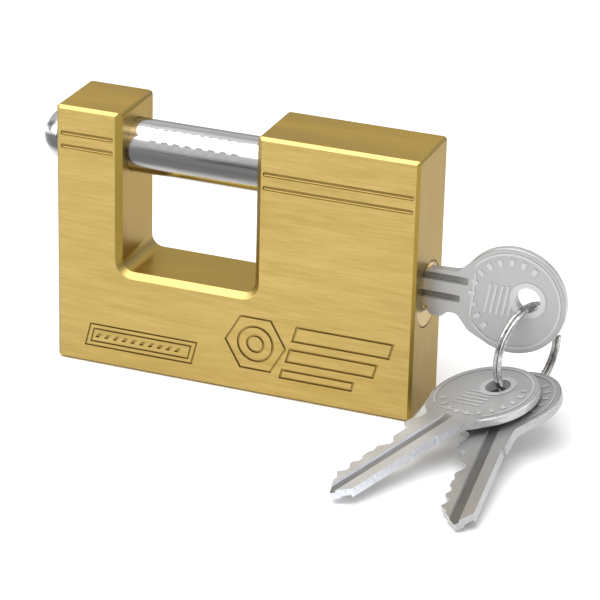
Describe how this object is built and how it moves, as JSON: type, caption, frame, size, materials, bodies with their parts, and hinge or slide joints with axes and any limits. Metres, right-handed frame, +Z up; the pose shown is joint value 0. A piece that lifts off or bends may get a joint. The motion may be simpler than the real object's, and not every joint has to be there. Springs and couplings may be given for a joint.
{
  "type": "straight bolt padlock with keys",
  "caption": "Brass block padlock with a U notch crossed by a sliding steel bolt, freed by a pin tumbler cylinder in its end, with keys on a split ring.",
  "frame": {"origin": "middle of the lock body's underside", "axes": "+X towards the cylinder and key, +Y towards the back, +Z up"},
  "size_m": [0.1247, 0.0646, 0.0609],
  "materials": {
    "body_brass": "lengthwise brushed, clear",
    "cylinder_brass": "fine turned",
    "plug_brass": "polished",
    "bolt_chrome": "polished",
    "key_nickel": "satin nickel plate",
    "ring_steel": "bright",
    "spring_steel": "drawn wire",
    "pin_brass": "turned",
    "dark_steel": "ground"
  },
  "bodies": {
    "case": {"lock_body": "body_brass", "bolt_stop_pin": "dark_steel", "cylinder_housing": "cylinder_brass", "cylinder_retaining_pin": "dark_steel", "latch_bore_plug": "pin_brass", "chamber_plugs": "pin_brass", "latch_spring": "spring_steel", "pin_spring_1": "spring_steel", "pin_spring_2": "spring_steel", "pin_spring_3": "spring_steel", "pin_spring_4": "spring_steel", "pin_spring_5": "spring_steel"},
    "bolt": {"bolt": "bolt_chrome"},
    "plug": {"plug": "plug_brass", "tail_cam": "dark_steel", "cam_screw": "dark_steel"},
    "latch": {"latch": "dark_steel"},
    "key": {"inserted_key": "key_nickel"},
    "ring": {"split_ring": "ring_steel"},
    "spare_key_1": {"spare_key_1": "key_nickel"},
    "spare_key_2": {"spare_key_2": "key_nickel"},
    "key_pin_1": {"key_pin_1": "pin_brass"},
    "driver_pin_1": {"driver_pin_1": "pin_brass"},
    "key_pin_2": {"key_pin_2": "pin_brass"},
    "driver_pin_2": {"driver_pin_2": "pin_brass"},
    "key_pin_3": {"key_pin_3": "pin_brass"},
    "driver_pin_3": {"driver_pin_3": "pin_brass"},
    "key_pin_4": {"key_pin_4": "pin_brass"},
    "driver_pin_4": {"driver_pin_4": "pin_brass"},
    "key_pin_5": {"key_pin_5": "pin_brass"},
    "driver_pin_5": {"driver_pin_5": "pin_brass"}
  },
  "joints": [
    {"name": "bolt_slide", "type": "slide", "parent": "case", "child": "bolt", "axis": [-1, 0, 0], "range_m": [0, 0.041]},
    {"name": "plug_turn", "type": "hinge", "parent": "case", "child": "plug", "pos_m": [0, 0, 0.0292], "axis": [-1, 0, 0], "range_deg": [0, 90]},
    {"name": "latch_drop", "type": "slide", "parent": "case", "child": "latch", "axis": [0, 0, -1], "range_m": [0, 0.0034], "deforming": ["latch_spring"]},
    {"name": "key_draw", "type": "slide", "parent": "plug", "child": "key", "axis": [1, 0, 0], "range_m": [0, 0.034], "deforming": ["key_pin_1", "key_pin_2", "key_pin_3", "key_pin_4", "key_pin_5"]},
    {"name": "ring_swing", "type": "hinge", "parent": "key", "child": "ring", "pos_m": [0.06524, 0, 0.0302], "axis": [0, -1, 0], "range_deg": [-8, 35]},
    {"name": "key_pin_1_slide", "type": "slide", "parent": "plug", "child": "key_pin_1", "axis": [0, 0, 1], "range_m": [-0.0018, 0], "stiffness_N_per_m": 60, "springref_m": 0.002},
    {"name": "driver_pin_1_slide", "type": "slide", "parent": "case", "child": "driver_pin_1", "axis": [0, 0, 1], "range_m": [-0.0018, 0], "deforming": ["pin_spring_1"]},
    {"name": "key_pin_2_slide", "type": "slide", "parent": "plug", "child": "key_pin_2", "axis": [0, 0, 1], "range_m": [-0.0018, 0], "stiffness_N_per_m": 60, "springref_m": 0.002},
    {"name": "driver_pin_2_slide", "type": "slide", "parent": "case", "child": "driver_pin_2", "axis": [0, 0, 1], "range_m": [-0.0018, 0], "deforming": ["pin_spring_2"]},
    {"name": "key_pin_3_slide", "type": "slide", "parent": "plug", "child": "key_pin_3", "axis": [0, 0, 1], "range_m": [-0.0018, 0], "stiffness_N_per_m": 60, "springref_m": 0.002},
    {"name": "driver_pin_3_slide", "type": "slide", "parent": "case", "child": "driver_pin_3", "axis": [0, 0, 1], "range_m": [-0.0018, 0], "deforming": ["pin_spring_3"]},
    {"name": "key_pin_4_slide", "type": "slide", "parent": "plug", "child": "key_pin_4", "axis": [0, 0, 1], "range_m": [-0.0018, 0], "stiffness_N_per_m": 60, "springref_m": 0.002},
    {"name": "driver_pin_4_slide", "type": "slide", "parent": "case", "child": "driver_pin_4", "axis": [0, 0, 1], "range_m": [-0.0018, 0], "deforming": ["pin_spring_4"]},
    {"name": "key_pin_5_slide", "type": "slide", "parent": "plug", "child": "key_pin_5", "axis": [0, 0, 1], "range_m": [-0.0018, 0], "stiffness_N_per_m": 60, "springref_m": 0.002},
    {"name": "driver_pin_5_slide", "type": "slide", "parent": "case", "child": "driver_pin_5", "axis": [0, 0, 1], "range_m": [-0.0018, 0], "deforming": ["pin_spring_5"]},
    {"name": "spare_key_1_fan", "type": "hinge", "parent": "ring", "child": "spare_key_1", "pos_m": [0.06172, -0.00722, 0.01088], "axis": [-0.1772, -0.1037, 0.9787], "range_deg": [-10, 12]},
    {"name": "spare_key_2_fan", "type": "hinge", "parent": "ring", "child": "spare_key_2", "pos_m": [0.06442, -0.0039, 0.00877], "axis": [-0.2377, -0.1526, 0.9593], "range_deg": [-2, 12]}
  ],
  "couplings": [
    {"joint": "latch_drop", "follows": "plug_turn", "m_per_rad": 0.0021645},
    {"joint": "driver_pin_1_slide", "follows": "key_pin_1_slide", "ratio": 1},
    {"joint": "driver_pin_2_slide", "follows": "key_pin_2_slide", "ratio": 1},
    {"joint": "driver_pin_3_slide", "follows": "key_pin_3_slide", "ratio": 1},
    {"joint": "driver_pin_4_slide", "follows": "key_pin_4_slide", "ratio": 1},
    {"joint": "driver_pin_5_slide", "follows": "key_pin_5_slide", "ratio": 1}
  ]
}
